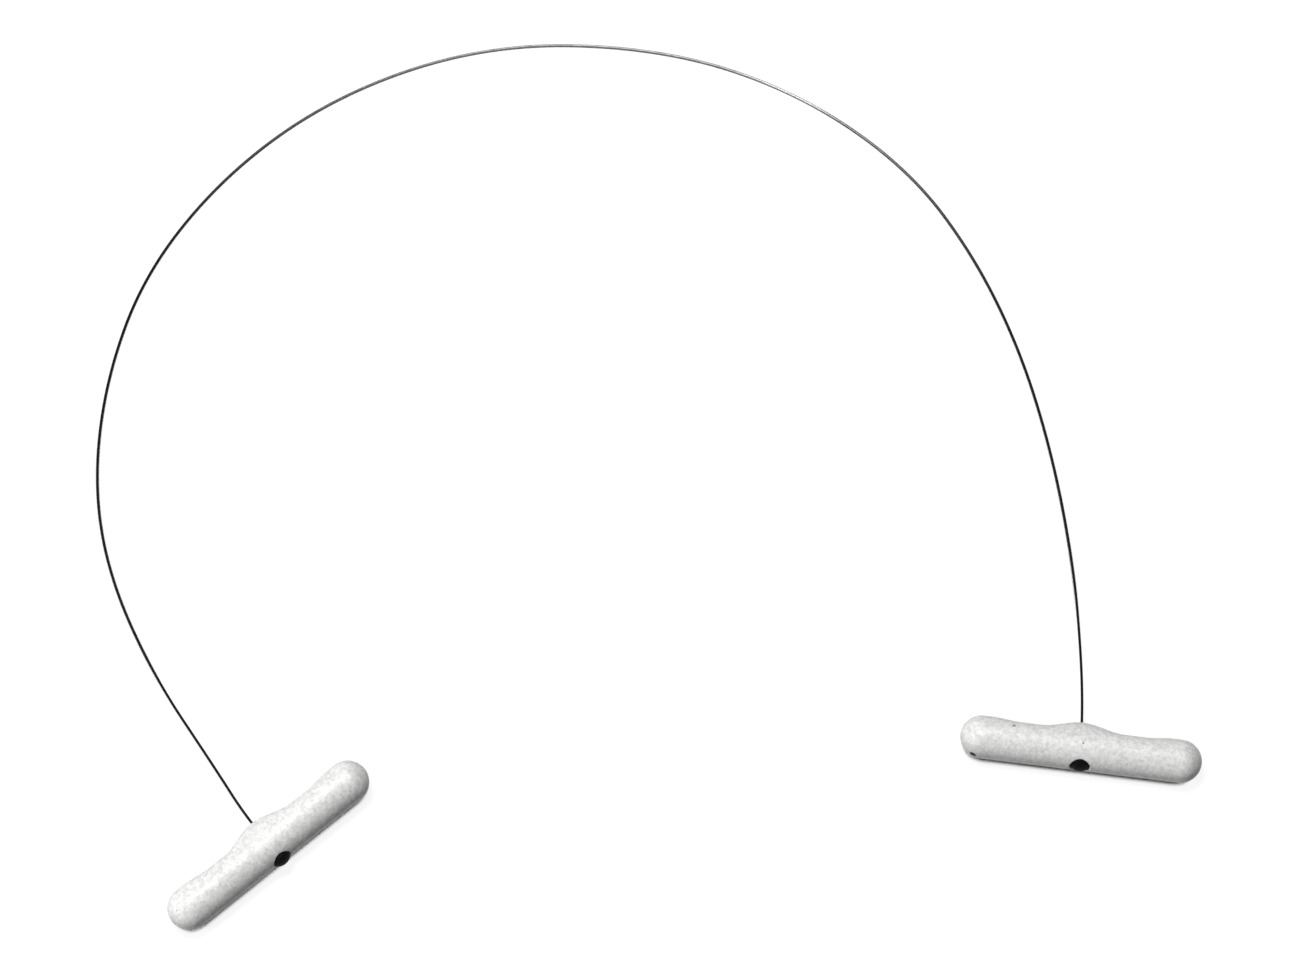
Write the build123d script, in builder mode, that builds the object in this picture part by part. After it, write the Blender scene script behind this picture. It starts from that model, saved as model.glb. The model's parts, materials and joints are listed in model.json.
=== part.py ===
from build123d import *
import math
import os

os.makedirs("parts", exist_ok=True)

# A clay cutter: one springy steel wire with a moulded toggle handle at each end, lying open on a table.
# All sizes are in millimetres. The origin is on the table, under the middle of the box round both handles.
# +X runs towards the right handle, +Y towards the top of the wire's arc, and +Z is up.
# Each handle has a frame of its own: X along the handle, Y along its bore towards the wire, Z up,
# from a point half way along the handle on the middle of its round bar.

# Handle: a round bar with ball ends and a straight back, shaped on the wire side only
handle_length = 70.0
handle_diameter = 12.5
barrel_length = 2.25      # plain round stretch between the ball end and the shoulder
crown_rise = 1.9          # how far the swelling stands out of the round bar where the wire leaves
waist_cut = 0.9           # how deep the finger waist is cut into the round bar
swell_length = 25.0       # the whole swelling, measured along the handle
waist_share = 0.36        # of the stretch from swelling to shoulder, the level part of the waist
swell_shares = (0, 0.2, 0.4, 0.6, 0.8)
waist_shares = (0, 0.5)
rise_shares = (0, 0.25, 0.5, 0.75, 1)

# Wire and the passage for it through the swelling
wire_diameter = 0.8
wire_clearance = 0.1      # all round the wire in its bore
mouth_diameter = 2.0      # the bore flares to this at the crown
mouth_depth = 0.8

# Wire stop: a sleeve crimped on the wire's end, and the chamber that it turns in
stop_diameter = 2.4
stop_length = 3.0
stop_edge = 0.3           # rounding of the sleeve's ends
stop_clearance = 0.6      # all round the sleeve in its chamber
thrust_gap = 0.1          # from the sleeve's face to the chamber's floor, which takes the pull
end_play = 0.5            # from the sleeve's other face to the seat of the plug
wire_tail = 0.2           # how far the wire stands out of the sleeve
crimp_radius = 0.5        # of the tool's jaw that bit into the sleeve
crimp_depth = 0.22
crimp_shares = (0.3, 0.7)

# End plug and its seat in the back of the handle
plug_diameter = 5.7
plug_clearance = 0.05     # all round the plug in its seat
plug_grip = 0.04          # how far the plug's ribs press into the wall of the seat
plug_rib_width = 0.6
plug_rib_shares = (0.3, 0.62)
seat_depth = 4.2          # from the back of the handle
plug_sink = 0.65          # from the back of the handle down to the edge of the plug's dome, fully home
dome_rise = 1.3
seat_rim = 0.3            # rounding of the edge of the seat

# Where the handles lie on the table: their middles, the way they point, and how far each has rolled
# its wire side down towards the table
left_x, left_y = -120.3, -7.0
left_turn_degrees = 41.3
left_roll_degrees = 2.0
left_plug_standout = 0.6
right_x, right_y = 113.4, 22.2
right_turn_degrees = -7.55
right_roll_degrees = 9.5
right_plug_standout = 0.0

# The wire's way over the table from the right handle to the left one, between the ends that its bores set
straight_out = 1.5        # the wire runs on straight this far past the crown
on_table = wire_diameter / 2
wire_route = [
    (115.9, 53.0, 1.7),
    (115.5, 83.5, on_table),
    (111.1, 121.1, on_table),
    (103.1, 157.0, on_table),
    (90.5, 190.0, on_table),
    (72.7, 219.7, on_table),
    (45.5, 244.5, on_table),
    (13.4, 261.3, on_table),
    (-20.0, 268.9, on_table),
    (-56.0, 269.5, on_table),
    (-90.3, 260.5, on_table),
    (-123.2, 242.1, on_table),
    (-150.3, 215.4, on_table),
    (-170.0, 183.0, on_table),
    (-179.0, 147.5, on_table),
    (-180.3, 112.0, on_table),
    (-173.7, 80.6, on_table),
    (-158.1, 47.9, on_table),
    (-137.8, 17.7, 3.3),
]
bend_share = 0.45         # of the shorter run beside a corner, taken up by its bend

overrun = 1.0             # how far a cut runs on past the surface that it opens

# Sizes worked out from the ones above
bar_radius = handle_diameter / 2
half_length = handle_length / 2
shoulder = half_length - bar_radius - barrel_length
swell_half = swell_length / 2
waist_length = waist_share * (shoulder - swell_half)
rise_length = shoulder - swell_half - waist_length
crown = bar_radius + crown_rise
back = -bar_radius
seat_floor = back + seat_depth
stop_back = seat_floor + end_play
stop_front = stop_back + stop_length
chamber_floor = stop_front + thrust_gap
wire_end = stop_back - wire_tail
bore_radius = wire_diameter / 2 + wire_clearance
chamber_radius = stop_diameter / 2 + stop_clearance
plug_radius = plug_diameter / 2
seat_radius = plug_radius + plug_clearance


def ease(share):
    """A rise from 0 to 1 that is level at both ends."""
    return (1 - math.cos(math.pi * share)) / 2


def reach_at(distance):
    """How far the wire side stands out from the bar's middle, at a distance from half way along."""
    if distance < swell_half:
        return crown - (crown_rise + waist_cut) * ease(distance / swell_half)
    if distance < swell_half + waist_length:
        return bar_radius - waist_cut
    return bar_radius - waist_cut * (1 - ease((distance - swell_half - waist_length) / rise_length))


def handle_frame(x, y, turn, roll):
    """The frame of a handle that lies on the table, turned about Z and rolled about its length."""
    height = math.hypot(bar_radius * math.cos(math.radians(roll)), crown * math.sin(math.radians(roll)))
    along = Vector(1, 0, 0).rotate(Axis.Z, turn)
    upward = Vector(0, 0, 1).rotate(Axis((0, 0, 0), along), -roll)
    return Plane(origin=(x, y, height), x_dir=along, z_dir=upward)


def across_handle(frame, station):
    """The plane across a handle at a station along it, with the wire side along its X."""
    return Plane(origin=frame.from_local_coords((station, 0, 0)), x_dir=frame.y_dir, z_dir=frame.x_dir)


def across_bore(frame, reach):
    """The plane across a handle's bore at a reach towards the wire."""
    return Plane(origin=frame.from_local_coords((0, reach, 0)), x_dir=frame.x_dir, z_dir=frame.y_dir)


def bore_axis(frame):
    """The axis of a handle's bore, out towards the wire."""
    return Axis(frame.origin, frame.y_dir)


def make_handle(frame, label):
    """One moulded toggle handle, with the stepped passage for plug, stop and wire."""
    with BuildPart() as handle:
        # Plain round bar with ball ends
        with BuildSketch(frame):
            with BuildLine():
                Line((-half_length, 0), (half_length, 0))
                CenterArc((half_length - bar_radius, 0), bar_radius, 0, 90)
                Line((half_length - bar_radius, bar_radius), (bar_radius - half_length, bar_radius))
                CenterArc((bar_radius - half_length, 0), bar_radius, 90, 90)
            make_face()
        revolve(axis=Axis(frame.origin, frame.x_dir))

        # The wire side comes off between the shoulders
        with BuildSketch(across_handle(frame, -shoulder)):
            with Locations((bar_radius, 0)):
                Rectangle(2 * bar_radius, 2 * handle_diameter)
        extrude(amount=2 * shoulder, mode=Mode.SUBTRACT)

        # In its place, half ellipses that swell at the crown and draw in at the finger waists
        half_stations = [share * swell_half for share in swell_shares]
        half_stations += [swell_half + share * waist_length for share in waist_shares]
        half_stations += [swell_half + waist_length + share * rise_length for share in rise_shares]
        stations = [-station for station in reversed(half_stations[1:])] + half_stations
        for station in stations:
            with BuildSketch(across_handle(frame, station)):
                with BuildLine():
                    EllipticalCenterArc((0, 0), reach_at(abs(station)), bar_radius, -90, arc_size=180)
                    Line((0, bar_radius), (0, back))
                make_face()
        loft()

        # Stepped passage from the back: the plug's seat, the stop's chamber, the bore and its flared mouth
        flare = (mouth_diameter / 2 - bore_radius) / mouth_depth
        with BuildSketch(frame):
            with BuildLine():
                Polyline(
                    (0, back - overrun),
                    (seat_radius, back - overrun),
                    (seat_radius, seat_floor),
                    (chamber_radius, seat_floor),
                    (chamber_radius, chamber_floor),
                    (bore_radius, chamber_floor),
                    (bore_radius, crown - mouth_depth),
                    (mouth_diameter / 2 + flare * overrun, crown + overrun),
                    (0, crown + overrun),
                    close=True,
                )
            make_face()
        revolve(axis=bore_axis(frame), mode=Mode.SUBTRACT)
        rim = handle.edges(Select.LAST).sort_by(bore_axis(frame))[0]
        fillet(rim, seat_rim)
    handle.part.label = label
    return handle


def make_plug(frame, standout, label):
    """The domed plug that closes the seat, gripped by two ribs, standing out by the standout given."""
    home_edge = back + plug_sink - standout
    inner_end = seat_floor - standout
    plug_length = inner_end - home_edge
    rib_radius = seat_radius + plug_grip
    with BuildPart() as plug:
        with BuildSketch(frame):
            with BuildLine():
                side = [(plug_radius, inner_end)]
                for share in plug_rib_shares:
                    middle = inner_end - share * plug_length
                    side.append((plug_radius, middle + plug_rib_width / 2))
                    side.append((rib_radius, middle))
                    side.append((plug_radius, middle - plug_rib_width / 2))
                side.append((plug_radius, home_edge))
                Polyline((0, inner_end), *side)
                dome_radius = (plug_radius**2 + dome_rise**2) / (2 * dome_rise)
                RadiusArc((plug_radius, home_edge), (0, home_edge - dome_rise), dome_radius)
                Line((0, home_edge - dome_rise), (0, inner_end))
            make_face()
        revolve(axis=bore_axis(frame))
    plug.part.label = label
    return plug


def make_stop(frame, label):
    """The sleeve crimped on the wire's end, bitten by the crimping tool from above and below."""
    with BuildPart() as stop:
        with BuildSketch(across_bore(frame, stop_back)):
            Circle(stop_diameter / 2)
        extrude(amount=stop_length)
        fillet(stop.edges(), stop_edge)
        with BuildSketch(across_handle(frame, 0)):
            bite_height = stop_diameter / 2 + crimp_radius - crimp_depth
            for share in crimp_shares:
                bite_reach = stop_back + share * stop_length
                with Locations((bite_reach, bite_height), (bite_reach, -bite_height)):
                    Circle(crimp_radius)
        extrude(amount=stop_diameter, both=True, mode=Mode.SUBTRACT)
        with BuildSketch(across_bore(frame, stop_back)):
            Circle(wire_diameter / 2)
        extrude(amount=stop_length, mode=Mode.SUBTRACT)
    stop.part.label = label
    return stop


left_frame = handle_frame(left_x, left_y, left_turn_degrees, left_roll_degrees)
right_frame = handle_frame(right_x, right_y, right_turn_degrees, right_roll_degrees)

left_handle = make_handle(left_frame, "left_handle")
right_handle = make_handle(right_frame, "right_handle")
left_end_plug = make_plug(left_frame, left_plug_standout, "left_end_plug")
right_end_plug = make_plug(right_frame, right_plug_standout, "right_end_plug")
left_wire_stop = make_stop(left_frame, "left_wire_stop")
right_wire_stop = make_stop(right_frame, "right_wire_stop")

# Cutting wire: out of the right bore, round the arc on the table and into the left bore
wire_points = [right_frame.from_local_coords((0, reach, 0)) for reach in (wire_end, crown + straight_out)]
wire_points += [Vector(*point) for point in wire_route]
wire_points += [left_frame.from_local_coords((0, reach, 0)) for reach in (crown + straight_out, wire_end)]
bend_radii = []
for before, corner, after in zip(wire_points, wire_points[1:], wire_points[2:]):
    turn = (corner - before).get_angle(after - corner)
    shorter_run = min((corner - before).length, (after - corner).length)
    bend_radii.append(bend_share * shorter_run / math.tan(math.radians(turn / 2)))
with BuildPart() as cutting_wire:
    with BuildLine() as wire_path:
        FilletPolyline(*wire_points, radius=bend_radii)
    with BuildSketch(Plane(origin=wire_path.line @ 0, z_dir=wire_path.line % 0)):
        Circle(wire_diameter / 2)
    sweep(path=wire_path.line)
cutting_wire.part.label = "cutting_wire"

export_step(left_handle.part, "parts/left_handle.step")
export_step(right_handle.part, "parts/right_handle.step")
export_step(left_end_plug.part, "parts/left_end_plug.step")
export_step(right_end_plug.part, "parts/right_end_plug.step")
export_step(left_wire_stop.part, "parts/left_wire_stop.step")
export_step(right_wire_stop.part, "parts/right_wire_stop.step")
export_step(cutting_wire.part, "parts/cutting_wire.step")

wire_length = sum(edge.length for edge in wire_path.edges())
straight_volume = math.pi * (wire_diameter / 2) ** 2 * wire_length
print("wire bend radii", [round(radius) for radius in bend_radii])
print("wire length", round(wire_length, 2))
print("wire volume over section times length", round(cutting_wire.part.volume / straight_volume, 5))
for name, frame in (("left", left_frame), ("right", right_frame)):
    print(name, "handle middle", [round(value, 3) for value in frame.origin])
    print(name, "bore axis", [round(value, 6) for value in frame.y_dir])
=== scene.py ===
"""The looks of a clay cutter: one springy steel wire with a moulded toggle handle at each end.

Lengths are in metres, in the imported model's frame. Its origin is on the table under the middle of the box
round both handles, with +X towards the right handle, +Y towards the top of the wire's arc and +Z up.
"""

import json
import logging
import math
from collections.abc import Mapping, Sequence
from dataclasses import dataclass, field
from enum import Enum

import bmesh
import bpy
from mathutils import Matrix, Vector


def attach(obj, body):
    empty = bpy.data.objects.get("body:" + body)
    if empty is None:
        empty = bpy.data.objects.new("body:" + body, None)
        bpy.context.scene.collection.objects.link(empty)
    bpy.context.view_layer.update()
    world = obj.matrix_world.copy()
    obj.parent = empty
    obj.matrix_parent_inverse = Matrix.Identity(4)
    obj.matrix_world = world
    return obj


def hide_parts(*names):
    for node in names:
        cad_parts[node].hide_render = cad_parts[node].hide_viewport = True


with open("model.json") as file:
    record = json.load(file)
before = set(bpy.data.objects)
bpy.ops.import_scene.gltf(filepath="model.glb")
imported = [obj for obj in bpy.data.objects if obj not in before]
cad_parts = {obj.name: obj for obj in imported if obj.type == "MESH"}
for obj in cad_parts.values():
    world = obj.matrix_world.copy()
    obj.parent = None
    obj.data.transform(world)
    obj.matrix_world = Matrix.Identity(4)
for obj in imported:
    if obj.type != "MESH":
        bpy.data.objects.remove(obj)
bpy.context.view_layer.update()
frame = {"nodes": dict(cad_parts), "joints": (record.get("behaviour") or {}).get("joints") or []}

MM = 0.001
LOG = logging.getLogger("clay cutter")

Point = tuple[float, float, float]
Colour = tuple[float, float, float, float]
Span = tuple[float, float]  # where a smooth step begins and where it ends
OutlinePoint = tuple[float, float]  # a radius and a place along the bore


def grey(level: float) -> Colour:
    """A grey of one level."""
    return (level, level, level, 1.0)


class Term:
    """One value in a node tree. Python expressions on it add the Math nodes."""

    def __init__(self, graph: "Graph", socket: bpy.types.NodeSocket) -> None:
        """Keep the graph and the output socket that the value comes from."""
        self.graph = graph
        self.socket = socket

    def output(self, name: str) -> "Term":
        """Another output of the same node."""
        return Term(self.graph, self.socket.node.outputs[name])

    def __add__(self, other: "Term | float") -> "Term":
        """self + other."""
        return self.graph.maths("ADD", self, other)

    def __radd__(self, other: float) -> "Term":
        """other + self."""
        return self.graph.maths("ADD", other, self)

    def __sub__(self, other: "Term | float") -> "Term":
        """self - other."""
        return self.graph.maths("SUBTRACT", self, other)

    def __rsub__(self, other: float) -> "Term":
        """other - self."""
        return self.graph.maths("SUBTRACT", other, self)

    def __mul__(self, other: "Term | float") -> "Term":
        """self * other."""
        return self.graph.maths("MULTIPLY", self, other)

    def __rmul__(self, other: float) -> "Term":
        """other * self."""
        return self.graph.maths("MULTIPLY", other, self)

    def __truediv__(self, other: "Term | float") -> "Term":
        """self / other."""
        return self.graph.maths("DIVIDE", self, other)

    def __rtruediv__(self, other: float) -> "Term":
        """other / self."""
        return self.graph.maths("DIVIDE", other, self)

    def __abs__(self) -> "Term":
        """The size of the value without its sign."""
        return self.graph.maths("ABSOLUTE", self)

    def least(self, other: "Term | float") -> "Term":
        """The smaller of the two."""
        return self.graph.maths("MINIMUM", self, other)

    def most(self, other: "Term | float") -> "Term":
        """The larger of the two."""
        return self.graph.maths("MAXIMUM", self, other)


class Graph:
    """A shader or geometry node tree that is filled one node at a time."""

    # A Mix node has sockets of the same names for each type of data. These are the colour ones.
    MIX_FIRST = 6
    MIX_SECOND = 7
    MIX_RESULT = 2

    def __init__(self, tree: bpy.types.NodeTree) -> None:
        """Start from an empty tree."""
        self.tree = tree
        tree.nodes.clear()

    def add(
        self,
        kind: str,
        settings: Mapping[str, object] | None = None,
        inputs: Mapping[str | int, object] | None = None,
        output: str | int = 0,
    ) -> Term | None:
        """Add one node.

        Args:
            kind: The node's type.
            settings: Its own settings, set first.
            inputs: A value or a Term for each socket, by name or number.
            output: Which of its outputs to give.

        Returns:
            That output, or None for a node that has none.
        """
        node = self.tree.nodes.new(kind)
        for name, value in (settings or {}).items():
            setattr(node, name, value)
        for name, value in (inputs or {}).items():
            socket = node.inputs[name]
            if isinstance(value, Term):
                self.tree.links.new(value.socket, socket)
            else:
                socket.default_value = value
        return Term(self, node.outputs[output]) if node.outputs else None

    def maths(self, operation: str, *values: Term | float) -> Term:
        """The Math node's result for an operation on the values given."""
        return self.add("ShaderNodeMath", {"operation": operation}, dict(enumerate(values)))

    def object_place(self) -> Term:
        """The object's own coordinates, in metres."""
        return self.add("ShaderNodeTexCoord", {}, {}, "Object")

    def distance(self, place: Term, middle: Point | Vector) -> Term:
        """How far a place is from a fixed point."""
        settings = {"operation": "DISTANCE"}
        return self.add("ShaderNodeVectorMath", settings, {0: place, 1: middle}, "Value")

    def noise(self, place: Term, size: float, detail: float, roughness: float = 0.5) -> Term:
        """Smooth noise from 0 to 1.

        Args:
            place: The coordinates that it is read at.
            size: How wide one patch of it is, in metres.
            detail: How many finer layers it has.
            roughness: How strong those layers are.

        Returns:
            The noise value.
        """
        inputs = {"Vector": place, "Scale": 1 / size, "Detail": detail, "Roughness": roughness}
        return self.add("ShaderNodeTexNoise", {}, inputs, "Fac")

    def ramp(self, value: Term, start: float, end: float, low: float = 0.0, high: float = 1.0) -> Term:
        """A smooth step of a value.

        Args:
            value: What is stepped.
            start: The value where the step begins.
            end: The value where it ends.
            low: The result before the step.
            high: The result after it.

        Returns:
            The stepped value.
        """
        inputs = {"Value": value, "From Min": start, "From Max": end, "To Min": low, "To Max": high}
        return self.add("ShaderNodeMapRange", {"interpolation_type": "SMOOTHSTEP"}, inputs, "Result")

    def blend(self, share: Term, first: Colour | Term, second: Colour | Term) -> Term:
        """Mix two colours.

        Args:
            share: How much of the second there is.
            first: The colour at a share of 0.
            second: The colour at a share of 1.

        Returns:
            The mixed colour.
        """
        inputs = {"Factor": share, self.MIX_FIRST: first, self.MIX_SECOND: second}
        return self.add("ShaderNodeMix", {"data_type": "RGBA"}, inputs, self.MIX_RESULT)

    def bump(self, height: Term, depth: float) -> Term:
        """The normal of a surface whose height varies from 0 to 1 over a depth in metres."""
        inputs = {"Strength": 1.0, "Distance": depth, "Height": height}
        return self.add("ShaderNodeBump", {}, inputs, "Normal")

    def mix_shaders(self, share: Term, first: Term, second: Term) -> Term:
        """The first shader at a share of 0 and the second at a share of 1."""
        return self.add("ShaderNodeMixShader", {}, {0: share, 1: first, 2: second})

    def principled(self, inputs: Mapping[str, object]) -> None:
        """End a material's tree with a Principled shader that has the inputs given."""
        surface = self.add("ShaderNodeBsdfPrincipled", {}, inputs, "BSDF")
        self.add("ShaderNodeOutputMaterial", {}, {"Surface": surface})


def finish_graph(name: str) -> tuple[bpy.types.Material, Graph]:
    """Start a finish.

    Args:
        name: The material's name.

    Returns:
        The new material, and the graph of its nodes.
    """
    material = bpy.data.materials.new(name)
    material.use_nodes = True
    return material, Graph(material.node_tree)


@dataclass(frozen=True)
class DarkMark:
    """A small dark mark on a moulding.

    The place is in the handle's own frame: along it, towards the wire and up.
    """

    place: Point
    radius: float
    darkness: float


@dataclass(frozen=True)
class Moulding:
    """Off-white plastic with a fine matt grain, faintly mottled and with a few small dark marks.

    A mark is at its darkest within its core, a share of its radius. Its depth counts in depths of the grain.
    """

    colour: Colour = (0.9, 0.9, 0.89, 1.0)
    shade: Colour = (0.51, 0.51, 0.503, 1.0)
    mark_colour: Colour = (0.02, 0.02, 0.019, 1.0)
    roughness: float = 0.38
    patch_size: float = 1.3 * MM
    patch_span: Span = (0.36, 0.66)
    patch_shade: float = 0.35
    patch_roughness: float = 0.08
    grain_size: float = 0.6 * MM
    grain_span: Span = (0.3, 0.7)
    grain_shade: float = 0.4
    grain_depth: float = 0.015 * MM
    mark_core: float = 0.5
    mark_roughness: float = 0.5
    mark_depth: float = 2.0

    def material(self, name: str, dark_marks: Sequence[tuple[Vector, DarkMark]]) -> bpy.types.Material:
        """Make the finish of one moulding.

        Args:
            name: The material's name.
            dark_marks: Each mark with its centre in the model's frame.

        Returns:
            The material.
        """
        material, graph = finish_graph(name)
        place = graph.object_place()
        patches = graph.ramp(graph.noise(place, self.patch_size, detail=2.0), *self.patch_span)
        grain = graph.ramp(graph.noise(place, self.grain_size, detail=3.0, roughness=0.6), *self.grain_span)
        tint = patches * self.patch_shade + grain * self.grain_shade
        colour = graph.blend(tint, self.colour, self.shade)
        roughness = self.roughness + patches * self.patch_roughness
        height = grain
        # Each mark darkens the colour towards the mark colour, most of all within its core.
        for centre, dark_mark in dark_marks:
            distance = graph.distance(place, centre)
            mark = graph.ramp(distance, dark_mark.radius * self.mark_core, dark_mark.radius, dark_mark.darkness, 0.0)
            colour = graph.blend(mark, colour, self.mark_colour)
            roughness = roughness + mark * self.mark_roughness
            height = height - mark * self.mark_depth
        normal = graph.bump(height, self.grain_depth)
        graph.principled({"Base Color": colour, "Roughness": roughness, "Normal": normal})
        return material


@dataclass(frozen=True)
class PlugPlastic:
    """Smooth black plastic with faint rubbing."""

    colour: Colour = (0.0025, 0.0025, 0.0028, 1.0)
    rubbed: Colour = (0.007, 0.007, 0.0075, 1.0)
    rubbed_span: Span = (0.5, 0.75)
    roughness: float = 0.5
    patch_roughness: float = 0.15
    gloss: float = 0.06
    patch_size: float = 0.9 * MM
    bump_depth: float = 0.008 * MM

    def material(self, name: str) -> bpy.types.Material:
        """Make the finish of one plug.

        Args:
            name: The material's name.

        Returns:
            The material.
        """
        material, graph = finish_graph(name)
        patches = graph.noise(graph.object_place(), self.patch_size, detail=4.0)
        inputs = {
            "Base Color": graph.blend(graph.ramp(patches, *self.rubbed_span), self.colour, self.rubbed),
            "Roughness": self.roughness + patches * self.patch_roughness,
            "Specular IOR Level": self.gloss,
            "Normal": graph.bump(patches, self.bump_depth),
        }
        graph.principled(inputs)
        return material


@dataclass(frozen=True)
class PaintedHighlight:
    """A stretch of the wire with a painted highlight: its colour is lightened, most of all in its middle.

    The even share of the painted highlight lies everywhere in it, and the patchy one follows the patches.
    """

    colour: Colour
    middle: Point
    reach: float
    even: float
    patchy: float

    def share(self, graph: Graph, place: Term, patches: Term) -> Term:
        """How much of the painted highlight's colour the wire takes.

        Args:
            graph: The finish's graph.
            place: The coordinates on the wire.
            patches: Noise along the wire.

        Returns:
            The share of the painted highlight's colour, which falls to 0 at its reach.
        """
        fall = graph.ramp(graph.distance(place, self.middle), 0.0, self.reach, 1.0, 0.0)
        return fall * (self.even + patches * self.patchy)


@dataclass(frozen=True)
class SpringSteel:
    """Dark drawn spring wire, with a painted sheen round the top of its arc and a painted highlight on a
    short stretch of it.
    """

    colour: Colour = (0.01, 0.01, 0.0105, 1.0)
    # Painted light: the first lightens the wire round the top of its arc as a painted sheen, and the second
    # is a brighter painted highlight on a short stretch.
    painted_highlights: tuple[PaintedHighlight, ...] = (
        PaintedHighlight((0.25, 0.25, 0.255, 1.0), (-0.03, 0.268, 0.0), 170.0 * MM, even=0.7, patchy=0.6),
        PaintedHighlight((0.35, 0.35, 0.36, 1.0), (0.032, 0.251, 0.0), 26.0 * MM, even=0.8, patchy=0.4),
    )
    roughness: float = 0.36
    line_roughness: float = 0.1
    patch_size: float = 4.0 * MM
    line_size: float = 0.25 * MM
    line_depth: float = 0.004 * MM

    def material(self, name: str) -> bpy.types.Material:
        """Make the finish of the wire.

        Args:
            name: The material's name.

        Returns:
            The material.
        """
        material, graph = finish_graph(name)
        place = graph.object_place()
        patches = graph.noise(place, self.patch_size, detail=3.0)
        lines = graph.noise(place, self.line_size, detail=2.0)
        colour = self.colour
        # Each painted highlight lightens the wire's colour.
        for stretch in self.painted_highlights:
            colour = graph.blend(stretch.share(graph, place, patches), colour, stretch.colour)
        inputs = {
            "Base Color": colour,
            "Metallic": 1.0,
            "Roughness": self.roughness + lines * self.line_roughness,
            "Normal": graph.bump(lines, self.line_depth),
        }
        graph.principled(inputs)
        return material


@dataclass(frozen=True)
class CrimpedSleeve:
    """Dull soft metal, scuffed where the crimping tool held it."""

    colour: Colour = (0.72, 0.72, 0.73, 1.0)
    scuffed: Colour = (0.5, 0.5, 0.51, 1.0)
    scuffed_span: Span = (0.4, 0.65)
    roughness: float = 0.42
    scuff_roughness: float = 0.2
    scuff_size: float = 0.6 * MM
    bump_depth: float = 0.01 * MM

    def material(self, name: str) -> bpy.types.Material:
        """Make the finish of the wire stops.

        Args:
            name: The material's name.

        Returns:
            The material.
        """
        material, graph = finish_graph(name)
        scuffs = graph.noise(graph.object_place(), self.scuff_size, detail=5.0, roughness=0.65)
        inputs = {
            "Base Color": graph.blend(graph.ramp(scuffs, *self.scuffed_span), self.colour, self.scuffed),
            "Metallic": 1.0,
            "Roughness": self.roughness + scuffs * self.scuff_roughness,
            "Normal": graph.bump(scuffs, self.bump_depth),
        }
        graph.principled(inputs)
        return material


class Side(Enum):
    """Which end of the wire a toggle is on."""

    LEFT = "left"
    RIGHT = "right"


@dataclass(frozen=True)
class Seat:
    """Where a toggle lies: its middle, and the way its length, its bore and its upper side point."""

    middle: Vector
    along: Vector
    bore: Vector
    up: Vector

    @classmethod
    def of(cls, side: Side) -> "Seat":
        """Find a toggle's seat from the joint that it turns on.

        Args:
            side: The toggle's side.

        Returns:
            Its seat.
        """
        joint = next(joint for joint in frame["joints"] if joint["name"] == f"{side.value}_swivel")
        bore = Vector(joint["axis"]).normalized()
        along = bore.cross(Vector((0, 0, 1))).normalized()
        return cls(Vector(joint["pos_m"]), along, bore, along.cross(bore))

    def point(self, along: float, towards_wire: float, up: float) -> Vector:
        """A point of the toggle's own frame in the model's frame."""
        return self.middle + self.along * along + self.bore * towards_wire + self.up * up

    def matrix(self) -> Matrix:
        """The matrix that takes the toggle's own frame to the model's frame."""
        turned = Matrix((self.along, self.bore, self.up)).transposed()
        return Matrix.LocRotScale(self.middle, turned, None)


def show_piece(
    name: str,
    shape: bpy.types.Mesh | bpy.types.Curve,
    material: bpy.types.Material | None = None,
) -> bpy.types.Object:
    """Show a finished shape under a name.

    Args:
        name: The piece's name.
        shape: Its mesh or curve, in the model's frame.
        material: Its finish, where the shape has none yet.

    Returns:
        The new object, at the origin.
    """
    if material:
        shape.materials.append(material)
    piece = bpy.data.objects.new(name, shape)
    bpy.context.scene.collection.objects.link(piece)
    return piece


def face_out(mesh: bpy.types.Mesh, edge_angle: float = math.radians(35)) -> None:
    """Turn a closed mesh's faces outwards and shade them smooth between its edges.

    Args:
        mesh: The mesh to change.
        edge_angle: The angle between two faces from which they meet in an edge.
    """
    turned = bmesh.new()
    turned.from_mesh(mesh)
    bmesh.ops.recalc_face_normals(turned, faces=turned.faces)
    turned.to_mesh(mesh)
    turned.free()
    mesh.shade_smooth()
    mesh.set_sharp_from_angle(angle=edge_angle)


def circle(radius: float, depth: float, turns: Sequence[float]) -> list[Point]:
    """Points round the bore, at a depth along it and at the angles given, in the toggle's own frame."""
    return [(radius * math.cos(turn), depth, radius * math.sin(turn)) for turn in turns]


@dataclass(frozen=True)
class ToggleForm:
    """The sizes of one toggle handle and of the passage through it."""

    length: float = 70.0 * MM
    bar_radius: float = 6.25 * MM
    barrel_length: float = 2.25 * MM
    crown_rise: float = 1.9 * MM
    waist_cut: float = 0.9 * MM
    swell_length: float = 25.0 * MM
    waist_share: float = 0.36
    seat_radius: float = 2.9 * MM
    seat_depth: float = 4.2 * MM
    seat_rim: float = 0.3 * MM
    chamber_radius: float = 1.8 * MM
    chamber_length: float = 3.6 * MM
    bore_radius: float = 0.5 * MM
    mouth_radius: float = 1.0 * MM
    mouth_depth: float = 0.8 * MM

    @property
    def straight_half(self) -> float:
        """From the middle to where a ball end begins."""
        return self.length / 2 - self.bar_radius

    @property
    def swell_half(self) -> float:
        """Half of the swelling."""
        return self.swell_length / 2

    @property
    def waist_length(self) -> float:
        """The level part of a finger waist."""
        return self.waist_share * (self.straight_half - self.barrel_length - self.swell_half)

    @property
    def rise_length(self) -> float:
        """From the waist up to the shoulder."""
        return self.straight_half - self.barrel_length - self.swell_half - self.waist_length

    @property
    def crown(self) -> float:
        """From the bar's middle to the crown, where the wire leaves."""
        return self.bar_radius + self.crown_rise

    @property
    def seat_floor(self) -> float:
        """From the bar's middle to the floor of the plug's seat."""
        return self.seat_depth - self.bar_radius


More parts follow.
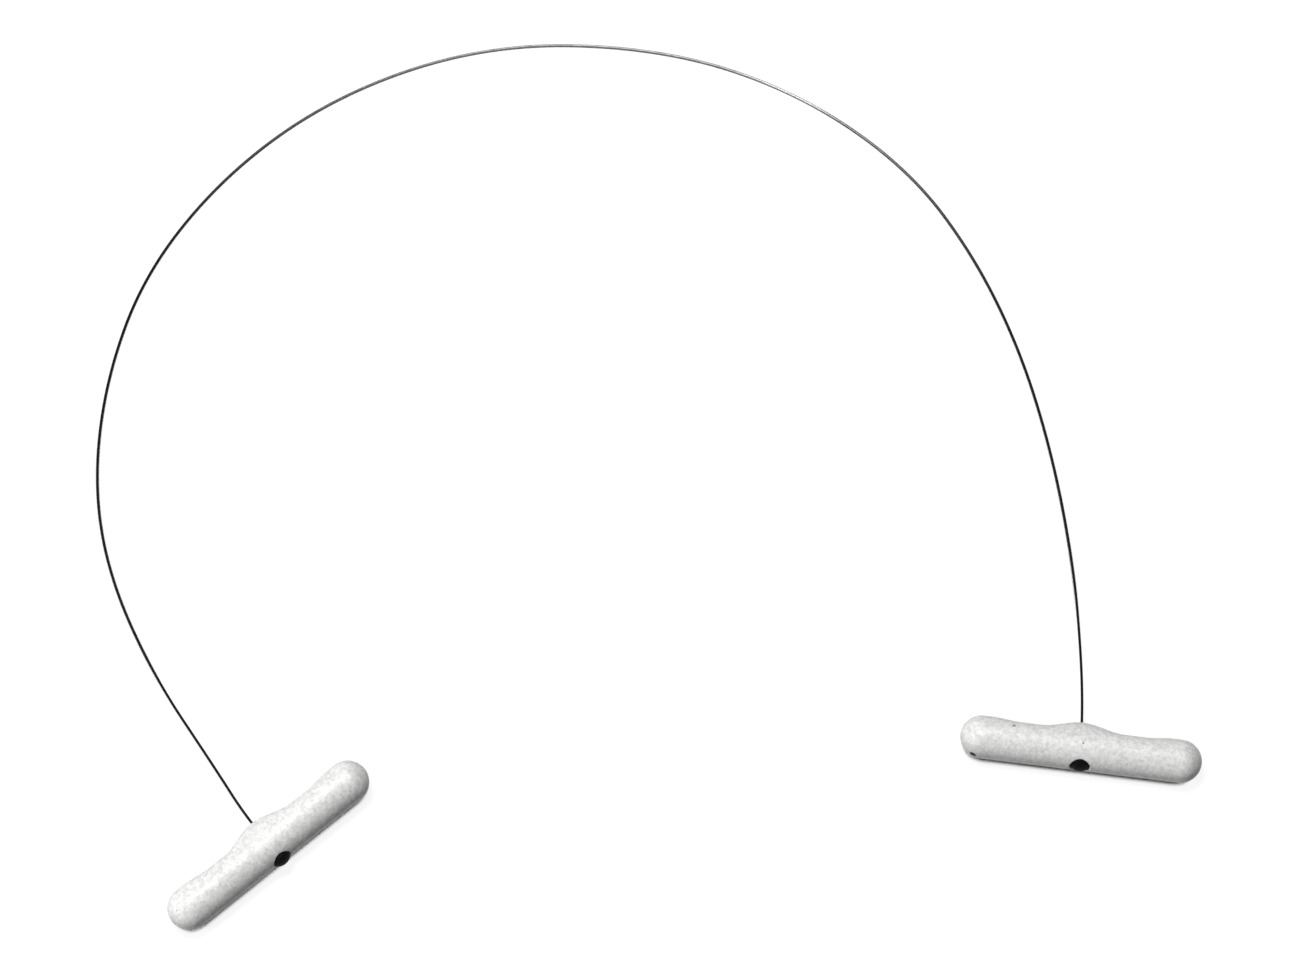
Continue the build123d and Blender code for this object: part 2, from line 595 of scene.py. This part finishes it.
class WrapTree:
    """Geometry nodes that wrap a flat pattern round a toggle's form.

    The pattern's X is the way along the toggle and its Y the angle round it, 0 on the wire side. Corners
    that aren't on the skin are already in place.
    """

    ON_SKIN = "on_skin"
    SIZES = (
        "Bar Radius",
        "Straight Half",
        "Crown Rise",
        "Waist Cut",
        "Swell Half",
        "Waist Length",
        "Rise Length",
    )
    PLACEMENTS = ("Middle", "Turn")

    def __init__(self) -> None:
        """Build the tree with its named inputs."""
        self.tree = bpy.data.node_groups.new("wrap round toggle", "GeometryNodeTree")
        self.graph = Graph(self.tree)
        sockets = [("Pattern", "NodeSocketGeometry")]
        sockets += [(name, "NodeSocketFloat") for name in self.SIZES]
        sockets += [(name, "NodeSocketVector") for name in self.PLACEMENTS]
        sockets += [("Finish", "NodeSocketMaterial")]
        interface = self.tree.interface
        interface.new_socket("Geometry", in_out="OUTPUT", socket_type="NodeSocketGeometry")
        for name, kind in sockets:
            interface.new_socket(name, in_out="INPUT", socket_type=kind)
        self._build()

    def _ease(self, share: Term) -> Term:
        """A rise from 0 to 1 that is level at both ends."""
        held = self.graph.add("ShaderNodeClamp", {}, {"Value": share})
        return 0.5 - 0.5 * self.graph.maths("COSINE", held * math.pi)

    def _reach(self, given: Term, distance: Term) -> Term:
        """How far the crest of the wire side stands from the bar's middle line.

        Args:
            given: The tree's inputs.
            distance: The distance along the bar from its middle.

        Returns:
            The reach, with the swelling and the two finger waists.
        """
        swell = given.output("Swell Half")
        swelling = self._ease(distance / swell)
        rise = self._ease((distance - swell - given.output("Waist Length")) / given.output("Rise Length"))
        crown = given.output("Crown Rise") * (1 - swelling)
        waist = given.output("Waist Cut") * (swelling - rise)
        return given.output("Bar Radius") + crown - waist

    def _wrapped(self, given: Term, place: Term) -> Term:
        """Where a corner of the skin goes.

        Args:
            given: The tree's inputs.
            place: The corner's place on the flat pattern.

        Returns:
            Its place on the form, in the toggle's own frame.
        """
        graph = self.graph
        radius = given.output("Bar Radius")
        straight = given.output("Straight Half")
        along = graph.add("ShaderNodeSeparateXYZ", {}, {"Vector": place}, "X")
        angle = along.output("Y")
        distance = abs(along)
        turn = (distance - straight).most(0.0) / radius
        slim = graph.maths("COSINE", turn)
        cosine = graph.maths("COSINE", angle)
        far = distance.least(straight) + radius * graph.maths("SINE", turn)
        inputs = {
            "X": graph.maths("SIGN", along) * far,
            "Y": slim * (self._reach(given, distance) * cosine.most(0.0) + radius * cosine.least(0.0)),
            "Z": slim * radius * graph.maths("SINE", angle),
        }
        return graph.add("ShaderNodeCombineXYZ", {}, inputs)

    def _build(self) -> None:
        """Fill the tree."""
        graph = self.graph
        given = graph.add("NodeGroupInput", {}, {}, "Pattern")
        place = graph.add("GeometryNodeInputPosition")
        settings = {"data_type": "BOOLEAN"}
        on_skin = graph.add("GeometryNodeInputNamedAttribute", settings, {"Name": self.ON_SKIN})
        inputs = {"Switch": on_skin, "False": place, "True": self._wrapped(given, place)}
        target = graph.add("GeometryNodeSwitch", {"input_type": "VECTOR"}, inputs)
        body = graph.add("GeometryNodeSetPosition", {}, {"Geometry": given, "Position": target})
        inputs = {"Geometry": body, "Translation": given.output("Middle"), "Rotation": given.output("Turn")}
        body = graph.add("GeometryNodeTransform", {}, inputs)
        body = graph.add("GeometryNodeRealizeInstances", {}, {"Geometry": body})
        inputs = {"Geometry": body, "Material": given.output("Finish")}
        body = graph.add("GeometryNodeSetMaterial", {}, inputs)
        graph.add("NodeGroupOutput", {}, {"Geometry": body})

    def wrap(self, flat: bpy.types.Object, values: Mapping[str, object]) -> bpy.types.Mesh:
        """Wrap a flat pattern.

        Args:
            flat: The object that holds the pattern. It is removed.
            values: A value for each named input.

        Returns:
            The wrapped mesh.
        """
        modifier = flat.modifiers.new("wrap", "NODES")
        modifier.node_group = self.tree
        identifiers = {item.name: item.identifier for item in self.tree.interface.items_tree}
        for name, value in values.items():
            modifier[identifiers[name]] = value
        depsgraph = bpy.context.evaluated_depsgraph_get()
        mesh = bpy.data.meshes.new_from_object(flat.evaluated_get(depsgraph))
        bpy.data.objects.remove(flat)
        return mesh


@dataclass
class Pattern:
    """The corners and faces of a closed pattern, in rings that are joined by bands."""

    points: list[Point] = field(default_factory=list)
    faces: list[list[int]] = field(default_factory=list)
    on_skin: list[bool] = field(default_factory=list)

    def corner(self, point: Point, on_skin: bool) -> int:
        """Add one corner.

        Args:
            point: Its place.
            on_skin: Whether it is still to be wrapped.

        Returns:
            Its number.
        """
        self.points.append(point)
        self.on_skin.append(on_skin)
        return len(self.points) - 1

    def ring(self, points: Sequence[Point], on_skin: bool) -> list[int]:
        """Add corners that all are or aren't still to be wrapped, and give their numbers."""
        return [self.corner(point, on_skin) for point in points]

    def band(self, first: Sequence[int], second: Sequence[int]) -> None:
        """Join two closed rings of as many corners.

        Args:
            first: One ring's corners.
            second: The other ring's corners, from the same angle and in the same direction.
        """
        for i, corner in enumerate(first):
            self.faces.append([first[i - 1], corner, second[i], second[i - 1]])

    def fan(self, ring: Sequence[int], tip: int) -> None:
        """Close a ring at one corner.

        Args:
            ring: The ring's corners.
            tip: The corner that the faces meet at.
        """
        for i, corner in enumerate(ring):
            self.faces.append([ring[i - 1], corner, tip])

    def mesh(self, name: str) -> bpy.types.Mesh:
        """Make a mesh of the pattern.

        Args:
            name: The mesh's name.

        Returns:
            The new mesh.
        """
        mesh = bpy.data.meshes.new(name)
        mesh.from_pydata(self.points, [], self.faces)
        return mesh


@dataclass(frozen=True, order=True)
class EdgeCorner:
    """A corner on the edge of a window: its angle round the bore, its place and its number."""

    turn: float
    along: float
    across: float
    number: int


@dataclass(frozen=True)
class RimSection:
    """The rounded rim of the plug's seat at one angle round the bore.

    The skin is where the bar's surface lies along the bore there, the slope is how far it leans, and the
    setback is how far from the sharp edge the rounding begins.
    """

    turn: float
    skin: float
    slope: float
    setback: float


@dataclass(frozen=True)
class HandlePattern:
    """A handle's flat pattern and how finely it is divided.

    It has a window on the wire side for the bore's mouth and one on the back for the plug's seat.
    """

    form: ToggleForm
    columns: int = 128
    rows: int = 120
    end_rings: int = 24
    window_columns: int = 32
    window_rows: int = 20
    window_rings: int = 8
    rim_rings: int = 5

    def _angle(self, column: int) -> float:
        """The angle round the bar at a column."""
        return 2 * math.pi * column / self.columns

    def _in_window(self, column: int, row: int, margin: int) -> bool:
        """Whether a corner or a cell is inside a window.

        Args:
            column: The corner's column.
            row: The corner's row.
            margin: 1 for the corner itself and 0 for the cell after it.

        Returns:
            True where it is left out of the bar's skin.
        """
        first_row = (self.rows - self.window_rows) // 2
        if not first_row + margin <= row < first_row + self.window_rows:
            return False
        turned = (column + self.window_columns // 2) % (self.columns // 2)
        return margin <= turned < self.window_columns

    def _ball_end(self, pattern: Pattern, edge: Sequence[int], end: int) -> None:
        """Close one end of the bar.

        Args:
            pattern: The pattern to add to.
            edge: The corners where the ball end begins.
            end: 1 for the end that the toggle's length points to, and -1 for the other.
        """
        form = self.form
        before = edge
        for step in range(1, self.end_rings):
            turn = math.pi / 2 * step / self.end_rings
            place = end * (form.straight_half + form.bar_radius * turn)
            points = [(place, self._angle(column), 0) for column in range(self.columns)]
            ring = pattern.ring(points, on_skin=True)
            pattern.band(before, ring)
            before = ring
        pole = end * (form.straight_half + form.bar_radius * math.pi / 2)
        pattern.fan(before, pattern.corner((pole, 0, 0), on_skin=True))

    def _skin(self, pattern: Pattern) -> dict[tuple[int, int], int]:
        """Lay the bar's corners and faces and close its two ends.

        Args:
            pattern: The pattern to add to.

        Returns:
            The number of the corner at each column and row.
        """
        grid: dict[tuple[int, int], int] = {}
        for row in range(self.rows + 1):
            place = self.form.straight_half * (2 * row / self.rows - 1)
            for column in range(self.columns):
                if not self._in_window(column, row, 1):
                    point = (place, self._angle(column), 0)
                    grid[column, row] = pattern.corner(point, on_skin=True)
        for row in range(self.rows):
            for column in range(self.columns):
                after = (column + 1) % self.columns
                if not self._in_window(column, row, 0):
                    corners = [(column, row), (after, row), (after, row + 1), (column, row + 1)]
                    pattern.faces.append([grid[corner] for corner in corners])
        for end, row in ((-1, 0), (1, self.rows)):
            self._ball_end(pattern, [grid[column, row] for column in range(self.columns)], end)
        return grid

    def _window(self, grid: Mapping[tuple[int, int], int], middle_column: int) -> list[EdgeCorner]:
        """Find the edge of a window.

        Args:
            grid: The bar's corners by column and row.
            middle_column: The column in the window's middle.

        Returns:
            The corners in turn round the bore.
        """
        half_columns = self.window_columns // 2
        half_rows = self.window_rows // 2
        edge = []
        for columns in range(-half_columns, half_columns + 1):
            for rows in range(-half_rows, half_rows + 1):
                if abs(columns) == half_columns or abs(rows) == half_rows:
                    column = middle_column + columns
                    along = self.form.straight_half * 2 * rows / self.rows
                    across = self.form.bar_radius * math.sin(self._angle(column))
                    number = grid[column % self.columns, self.rows // 2 + rows]
                    edge.append(EdgeCorner(math.atan2(across, along), along, across, number))
        return sorted(edge)

    def _opening(
        self,
        pattern: Pattern,
        edge: Sequence[EdgeCorner],
        radii: Sequence[float],
        back: bool,
    ) -> list[int]:
        """Fill a window with rings down to a round opening.

        Args:
            pattern: The pattern to add to.
            edge: The window's edge.
            radii: The opening's radius at each of the edge's angles.
            back: Whether the window is on the back.

        Returns:
            The corners round the opening.
        """
        before = [corner.number for corner in edge]
        for step in range(1, self.window_rings + 1):
            share = step / self.window_rings
            points = []
            for corner, radius in zip(edge, radii):
                along = corner.along + (radius * math.cos(corner.turn) - corner.along) * share
                across = corner.across + (radius * math.sin(corner.turn) - corner.across) * share
                angle = math.asin(across / self.form.bar_radius)
                points.append((along, math.pi - angle if back else angle, 0))
            ring = pattern.ring(points, on_skin=True)
            pattern.band(before, ring)
            before = ring
        return before

    def _rim_section(self, turn: float) -> RimSection:
        """Work out the seat's rim at one angle.

        Args:
            turn: The angle round the bore.

        Returns:
            The rim's section there.
        """
        form = self.form
        across = form.seat_radius * math.sin(turn)
        depth = math.sqrt(form.bar_radius**2 - across**2)
        slope = math.atan2(across * math.sin(turn), depth)
        setback = form.seat_rim / math.tan((math.pi / 2 - slope) / 2)
        return RimSection(turn, -depth, slope, setback)

    def _rim(self, pattern: Pattern, sections: Sequence[RimSection], edge: Sequence[int]) -> list[int]:
        """Round the way in from the bar's skin to the wall of the plug's seat.

        Args:
            pattern: The pattern to add to.
            sections: The rim's sections.
            edge: The corners round the opening in the skin.

        Returns:
            The corners on the seat's wall.
        """
        form = self.form
        before = edge
        for step in range(1, self.rim_rings + 1):
            share = step / self.rim_rings
            points = []
            for section in sections:
                sweep = math.pi * 1.5 + section.slope - (math.pi / 2 + section.slope) * share
                radius = form.seat_radius + form.seat_rim * (1 + math.cos(sweep))
                depth = section.skin + section.setback + form.seat_rim * math.sin(sweep)
                points += circle(radius, depth, [section.turn])
            ring = pattern.ring(points, on_skin=False)
            pattern.band(before, ring)
            before = ring
        return before

    def _passage(self, pattern: Pattern, turns: Sequence[float], edge: Sequence[int]) -> list[int]:
        """Step the passage down from the plug's seat to the bore.

        Args:
            pattern: The pattern to add to.
            turns: The angles of a ring's corners.
            edge: The corners where the seat's wall begins.

        Returns:
            The corners where the bore ends and its mouth begins to flare.
        """
        form = self.form
        floor = form.seat_floor
        end = floor + form.chamber_length
        steps = [
            (form.seat_radius, floor),
            (form.chamber_radius, floor),
            (form.chamber_radius, end),
            (form.bore_radius, end),
            (form.bore_radius, form.crown - form.mouth_depth),
        ]
        before = edge
        for radius, depth in steps:
            ring = pattern.ring(circle(radius, depth, turns), on_skin=False)
            pattern.band(before, ring)
            before = ring
        return before

    def build(self) -> Pattern:
        """Lay the whole closed pattern.

        Returns:
            The pattern, with the passage right through it.
        """
        pattern = Pattern()
        grid = self._skin(pattern)
        back_edge = self._window(grid, self.columns // 2)
        wire_edge = self._window(grid, 0)
        turns = [corner.turn for corner in back_edge]
        sections = [self._rim_section(turn) for turn in turns]
        seat_radii = [self.form.seat_radius + rim.setback * math.cos(rim.slope) for rim in sections]
        mouth_radii = [self.form.mouth_radius] * len(turns)
        seat_edge = self._opening(pattern, back_edge, seat_radii, back=True)
        seat_wall = self._rim(pattern, sections, seat_edge)
        bore_end = self._passage(pattern, turns, seat_wall)
        pattern.band(bore_end, self._opening(pattern, wire_edge, mouth_radii, back=False))
        return pattern


@dataclass(frozen=True)
class PlugForm:
    """The sizes of the plug that closes a toggle's seat.

    The sink is how far the dome's edge lies under the handle's back where the plug is fully home. The ribs'
    shares are measured from the inner end, and each rib is level over the top's share of its width.
    """

    radius: float = 2.85 * MM
    length: float = 3.55 * MM
    sink: float = 0.65 * MM
    end_cut: float = 0.2 * MM
    rib_radius: float = 2.94 * MM
    rib_width: float = 0.6 * MM
    rib_top: float = 0.4
    rib_shares: tuple[float, ...] = (0.3, 0.62)
    dome_rise: float = 1.3 * MM
    shoulder: float = 0.35 * MM
    shoulder_share: float = 0.5
    columns: int = 96
    dome_rings: int = 14
    shoulder_rings: int = 6

    def _ribs(self, inner: float) -> list[OutlinePoint]:
        """Outline the ribs.

        Args:
            inner: Where the plug's inner end lies along the bore.

        Returns:
            The points of each rib in turn.
        """
        foot = self.rib_width / 2
        top = foot * self.rib_top
        sides = ((self.radius, foot), (self.rib_radius, top), (self.rib_radius, -top), (self.radius, -foot))
        middles = [inner - share * self.length for share in self.rib_shares]
        return [(radius, middle + offset) for middle in middles for radius, offset in sides]

    def _dome(self, edge: float) -> list[OutlinePoint]:
        """Outline the dome.

        Args:
            edge: Where the dome's edge lies along the bore.

        Returns:
            The dome's points, but for its top.
        """
        ball = (self.radius**2 + self.dome_rise**2) / (2 * self.dome_rise)
        start = math.asin((self.radius - self.shoulder * self.shoulder_share) / ball)
        turns = [start * (1 - step / self.dome_rings) for step in range(self.dome_rings)]
        top = edge - self.dome_rise
        return [(ball * math.sin(turn), top + ball * (1 - math.cos(turn))) for turn in turns]

    def _shoulder(self, edge: float, end: OutlinePoint) -> list[OutlinePoint]:
        """Outline the curve from the plug's side into its dome.

        Args:
            edge: Where the dome's edge lies along the bore.
            end: The first point of the dome.

        Returns:
            The curve's points, but for its end.
        """
        start = Vector((self.radius, edge + self.shoulder))
        corner = Vector((self.radius, edge))
        points = []
        for step in range(self.shoulder_rings):
            share = step / self.shoulder_rings
            leaving = start.lerp(corner, share)
            arriving = corner.lerp(Vector(end), share)
            points.append(leaving.lerp(arriving, share)[:])
        return points

    def outline(self, edge: float) -> list[OutlinePoint]:
        """Outline the plug from the middle of its inner end to the top of its dome.

        Args:
            edge: Where the dome's edge lies along the bore, from the bar's middle.

        Returns:
            The outline's points.
        """
        inner = edge + self.length
        dome = self._dome(edge)
        return [
            (0.0, inner),
            (self.radius - self.end_cut, inner),
            (self.radius, inner - self.end_cut),
            *self._ribs(inner),
            *self._shoulder(edge, dome[0]),
            *dome,
            (0.0, edge - self.dome_rise),
        ]


@dataclass
class Toggle:
    """One toggle handle with the plug in its back, which can stand proud of where it is fully home."""

    side: Side
    plug_proud: float
    dark_marks: tuple[DarkMark, ...]
    form: ToggleForm = ToggleForm()
    plug: PlugForm = PlugForm()
    moulding: Moulding = Moulding()
    plug_plastic: PlugPlastic = PlugPlastic()

    def __post_init__(self) -> None:
        """Find the toggle's seat."""
        self.seat = Seat.of(self.side)

    def _name(self, piece: str) -> str:
        """A piece's name with the side in front."""
        return f"{self.side.value}_{piece}"

    def _place(self, piece: bpy.types.Object, node: str) -> None:
        """Let a piece ride on the toggle in place of its node.

        Args:
            piece: The finished piece.
            node: The node that it stands for.
        """
        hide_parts(node)
        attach(piece, self._name("toggle"))

    def handle_finish(self) -> bpy.types.Material:
        """The handle's plastic with its own marks."""
        dark_marks = [(self.seat.point(*dark_mark.place), dark_mark) for dark_mark in self.dark_marks]
        return self.moulding.material(self._name("moulded_plastic"), dark_marks)

    def handle_mesh(self, wrap: WrapTree) -> bpy.types.Mesh:
        """Make the handle from its flat pattern.

        Args:
            wrap: The tree that wraps the pattern round the form.

        Returns:
            The handle's mesh, with its finish.
        """
        form = self.form
        pattern = HandlePattern(form).build()
        flat_mesh = pattern.mesh(self._name("pattern"))
        flags = flat_mesh.attributes.new(WrapTree.ON_SKIN, "BOOLEAN", "POINT")
        flags.data.foreach_set("value", pattern.on_skin)
        values = {
            "Bar Radius": form.bar_radius,
            "Straight Half": form.straight_half,
            "Crown Rise": form.crown_rise,
            "Waist Cut": form.waist_cut,
            "Swell Half": form.swell_half,
            "Waist Length": form.waist_length,
            "Rise Length": form.rise_length,
            "Middle": self.seat.middle[:],
            "Turn": self.seat.matrix().to_euler()[:],
            "Finish": self.handle_finish(),
        }
        mesh = wrap.wrap(show_piece(self._name("pattern"), flat_mesh), values)
        face_out(mesh)
        return mesh

    def plug_mesh(self) -> bpy.types.Mesh:
        """Turn the plug round the bore.

        Returns:
            The plug's mesh.
        """
        edge = self.plug.sink - self.form.bar_radius - self.plug_proud
        (_, inner), *sides, (_, top) = self.plug.outline(edge)
        turns = [2 * math.pi * column / self.plug.columns for column in range(self.plug.columns)]
        pattern = Pattern()
        rings = [pattern.ring(circle(radius, depth, turns), on_skin=False) for radius, depth in sides]
        for before, after in zip(rings, rings[1:]):
            pattern.band(before, after)
        for ring, depth in ((rings[0], inner), (rings[-1], top)):
            pattern.fan(ring, pattern.corner((0, depth, 0), on_skin=False))
        mesh = pattern.mesh(self._name("end_plug"))
        mesh.transform(self.seat.matrix())
        face_out(mesh)
        return mesh

    def build(self, wrap: WrapTree) -> None:
        """Show the handle and its plug.

        Args:
            wrap: The tree that wraps the handle's pattern round its form.
        """
        handle = show_piece(self._name("grip"), self.handle_mesh(wrap))
        self._place(handle, self._name("handle"))
        plastic = self.plug_plastic.material(self._name("plug_plastic"))
        plug = show_piece(self._name("plug"), self.plug_mesh(), plastic)
        self._place(plug, self._name("end_plug"))


@dataclass(frozen=True)
class CuttingWire:
    """The springy wire that lies in a wide arc from handle to handle, with a crimped stop on each end.

    In each handle it runs along the bore, from its inner end until it is straight out of the crown.
    """

    diameter: float = 0.8 * MM
    length: float = 707.0 * MM
    inner_end: float = -1.75 * MM
    straight_out: float = 1.5 * MM
    over_table: tuple[Point, ...] = (
        (0.1159, 0.0530, 0.0017),
        (0.1155, 0.0835, 0.0004),
        (0.1111, 0.1211, 0.0004),
        (0.1031, 0.1570, 0.0004),
        (0.0905, 0.1900, 0.0004),
        (0.0727, 0.2197, 0.0004),
        (0.0455, 0.2445, 0.0004),
        (0.0134, 0.2613, 0.0004),
        (-0.0200, 0.2689, 0.0004),
        (-0.0560, 0.2695, 0.0004),
        (-0.0903, 0.2605, 0.0004),
        (-0.1232, 0.2421, 0.0004),
        (-0.1503, 0.2154, 0.0004),
        (-0.1700, 0.1830, 0.0004),
        (-0.1790, 0.1475, 0.0004),
        (-0.1803, 0.1120, 0.0004),
        (-0.1737, 0.0806, 0.0004),
        (-0.1581, 0.0479, 0.0004),
        (-0.1378, 0.0177, 0.0033),
    )
    spline_order: int = 3
    steps_a_point: int = 24
    roundness: int = 5
    handle: ToggleForm = ToggleForm()
    steel: SpringSteel = SpringSteel()
    sleeve: CrimpedSleeve = CrimpedSleeve()

    def _on_bore(self, side: Side, reach: float) -> Point:
        """A point on a handle's bore, to a thousandth of a millimetre."""
        x, y, z = Seat.of(side).point(0, reach, 0)
        return (round(x, 6), round(y, 6), round(z, 6))

    def route(self) -> list[Point]:
        """Work out the wire's way from the right handle to the left one.

        Returns:
            Its points, from inner end to inner end.
        """
        reaches = [self.inner_end, self.handle.crown + self.straight_out]
        right = [self._on_bore(Side.RIGHT, reach) for reach in reaches]
        left = [self._on_bore(Side.LEFT, reach) for reach in reversed(reaches)]
        return [*right, *self.over_table, *left]

    def curve(self) -> bpy.types.Curve:
        """Lay the wire along its route.

        Returns:
            The curve, with the wire's thickness and finish.
        """
        route = self.route()
        curve = bpy.data.curves.new("wire", "CURVE")
        curve.dimensions = "3D"
        spline = curve.splines.new("NURBS")
        spline.points.add(len(route) - 1)
        for point, place in zip(spline.points, route):
            point.co = (*place, 1.0)
        spline.order_u = self.spline_order
        spline.use_endpoint_u = True
        curve.resolution_u = self.steps_a_point
        curve.bevel_depth = self.diameter / 2
        curve.bevel_resolution = self.roundness
        curve.use_fill_caps = True
        curve.materials.append(self.steel.material("spring_steel"))
        return curve

    def dress_stops(self) -> list[bpy.types.Object]:
        """Give the crimped stops their finish.

        Returns:
            The stops' own nodes.
        """
        stops = [frame["nodes"][f"{side.value}_wire_stop"] for side in Side]
        finish = self.sleeve.material("crimped_sleeve")
        for stop in stops:
            stop.data.materials.clear()
            stop.data.materials.append(finish)
        return stops

    def build(self) -> None:
        """Dress the stops and show the wire that they are crimped on."""
        stops = self.dress_stops()
        wire = show_piece("spring_wire", self.curve())
        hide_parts("cutting_wire")
        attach(wire, "wire")
        self._on_bore(Side.RIGHT, self.handle.crown)


@dataclass(frozen=True)
class Lamp:
    """One soft round lamp that shines on the middle of the scene.

    At level 1 it alone renders a white surface that faces it as white.
    """

    name: str
    direction: Point
    size: float
    level: float
    distance: float = 1.5

    def build(self, target: Vector) -> None:
        """Hang the lamp.

        Args:
            target: The point that it shines on.
        """
        light = bpy.data.lights.new(self.name, "AREA")
        light.shape = "DISK"
        light.size = self.size
        light.energy = self.level * math.pi**2 * self.distance**2
        lamp = bpy.data.objects.new(self.name, light)
        towards = Vector(self.direction).normalized()
        lamp.location = target + towards * self.distance
        lamp.rotation_euler = towards.to_track_quat("Z", "Y").to_euler()
        bpy.context.scene.collection.objects.link(lamp)


@dataclass(frozen=True)
class Studio:
    """The camera, the lamps, the white table and what surrounds them.

    The walls are white and turn into the dim ceiling over their top's span of heights. The contact shade
    goes from black to none over its span of how open the table is to what is above it, within its reach.
    """

    camera_place: Point = (-0.01146, -0.32262, 0.88621)
    camera_tilt: float = math.radians(26)
    lens_mm: float = 90.0
    sensor_mm: float = 36.0
    target: Point = (0.0, 0.1, 0.0)
    lamps: tuple[Lamp, ...] = (
        Lamp("side_lamp", (-0.80, -0.32, 0.52), size=0.5, level=0.47),
        Lamp("top_lamp", (-0.16, 0.10, 0.97), size=0.45, level=0.86),
    )
    ambient: float = 0.02
    ceiling: float = 0.1
    wall_top: Span = (0.45, 0.7)
    table_half: float = 3.0
    table_gap: float = 0.02 * MM
    table_albedo: float = 0.14
    shown_albedo: float = 0.15
    shown_lift: float = 0.9
    contact_reach: float = 3.0 * MM
    contact_span: Span = (0.48, 0.64)
    contact_samples: int = 8

    def _camera(self) -> None:
        """Set the camera up at the photograph's place."""
        data = bpy.data.cameras.new("camera")
        data.lens = self.lens_mm
        data.sensor_width = self.sensor_mm
        camera = bpy.data.objects.new("camera", data)
        camera.location = self.camera_place
        camera.rotation_euler = (self.camera_tilt, 0, 0)
        bpy.context.scene.collection.objects.link(camera)
        bpy.context.scene.camera = camera

    @staticmethod
    def _seen(graph: Graph) -> Term:
        """1 for rays that show a surface in the picture, in gloss or through glass, and 0 for the rest."""
        rays = graph.add("ShaderNodeLightPath", {}, {}, "Is Camera Ray")
        return rays.most(rays.output("Is Glossy Ray")).most(rays.output("Is Transmission Ray"))

    def _world(self) -> None:
        """Surround the scene with white walls under a dim ceiling, which give little light of their own."""
        world = bpy.data.worlds.new("studio")
        world.use_nodes = True
        bpy.context.scene.world = world
        graph = Graph(world.node_tree)
        direction = graph.add("ShaderNodeTexCoord", {}, {}, "Generated")
        height = graph.add("ShaderNodeSeparateXYZ", {}, {"Vector": direction}, "Z")
        wall = graph.ramp(height, *self.wall_top, 1.0, self.ceiling)
        dim = graph.add("ShaderNodeBackground", {}, {"Color": grey(1.0), "Strength": self.ambient})
        white = graph.add("ShaderNodeBackground", {}, {"Color": grey(1.0), "Strength": wall})
        surface = graph.mix_shaders(self._seen(graph), dim, white)
        graph.add("ShaderNodeOutputWorld", {}, {"Surface": surface})

    def _table_finish(self) -> bpy.types.Material:
        """Make the table's white, which darkens where the tool touches it and keeps the tool's shadow.

        Returns:
            The material.
        """
        material, graph = finish_graph("white_table")
        settings = {"samples": self.contact_samples}
        inputs = {"Distance": self.contact_reach}
        openness = graph.add("ShaderNodeAmbientOcclusion", settings, inputs, "AO")
        contact = graph.ramp(openness, *self.contact_span)
        bounce = graph.add("ShaderNodeBsdfDiffuse", {}, {"Color": grey(self.table_albedo)})
        shown = graph.blend(contact, grey(0.0), grey(self.shown_albedo))
        shade = graph.add("ShaderNodeBsdfDiffuse", {}, {"Color": shown})
        glow = graph.blend(contact, grey(0.0), grey(1.0))
        lift = graph.add("ShaderNodeEmission", {}, {"Color": glow, "Strength": self.shown_lift})
        bright = graph.add("ShaderNodeAddShader", {}, {0: shade, 1: lift})
        surface = graph.mix_shaders(self._seen(graph), bounce, bright)
        graph.add("ShaderNodeOutputMaterial", {}, {"Surface": surface})
        return material

    def _table(self) -> None:
        """Lay the white table just under the tool."""
        half = self.table_half
        corners = [(-half, -half), (half, -half), (half, half), (-half, half)]
        mesh = bpy.data.meshes.new("table")
        mesh.from_pydata([(x, y, -self.table_gap) for x, y in corners], [], [[0, 1, 2, 3]])
        table = show_piece("table", mesh, self._table_finish())

    def build(self) -> None:
        """Set up everything round the tool."""
        bpy.context.scene.view_settings.view_transform = "Standard"
        self._camera()
        self._world()
        self._table()
        for lamp in self.lamps:
            lamp.build(Vector(self.target))


def both_toggles() -> tuple[Toggle, Toggle]:
    """Pick out the two toggles by their marks. The left one's plug isn't quite home.

    Returns:
        The left toggle and the right one.
    """
    left_dark_marks = (DarkMark((-32.5 * MM, -0.1 * MM, 5.0 * MM), radius=0.5 * MM, darkness=0.35),)
    right_dark_marks = (
        DarkMark((-20.1 * MM, 1.45 * MM, 6.0 * MM), radius=0.6 * MM, darkness=0.7),
        DarkMark((0.0, -1.62 * MM, 6.04 * MM), radius=0.36 * MM, darkness=0.85),
        # A dark spot on the back's lower edge near the left end, the largest and darkest mark.
        DarkMark((-30.9 * MM, -5.82 * MM, -0.75 * MM), radius=1.35 * MM, darkness=1.0),
    )
    left = Toggle(Side.LEFT, plug_proud=0.6 * MM, dark_marks=left_dark_marks)
    right = Toggle(Side.RIGHT, plug_proud=0.0, dark_marks=right_dark_marks)
    return left, right


def main() -> None:
    """Dress the whole tool and light it."""
    logging.basicConfig(level=logging.INFO, format="%(name)s: %(message)s")
    Studio().build()
    LOG.info("studio set up")
    CuttingWire().build()
    LOG.info("wire laid from handle to handle, both stops dressed")
    wrap = WrapTree()
    for toggle in both_toggles():
        toggle.build(wrap)
        LOG.info("%s handle moulded, with its plug", toggle.side.value)


if __name__ == "__main__":
    main()
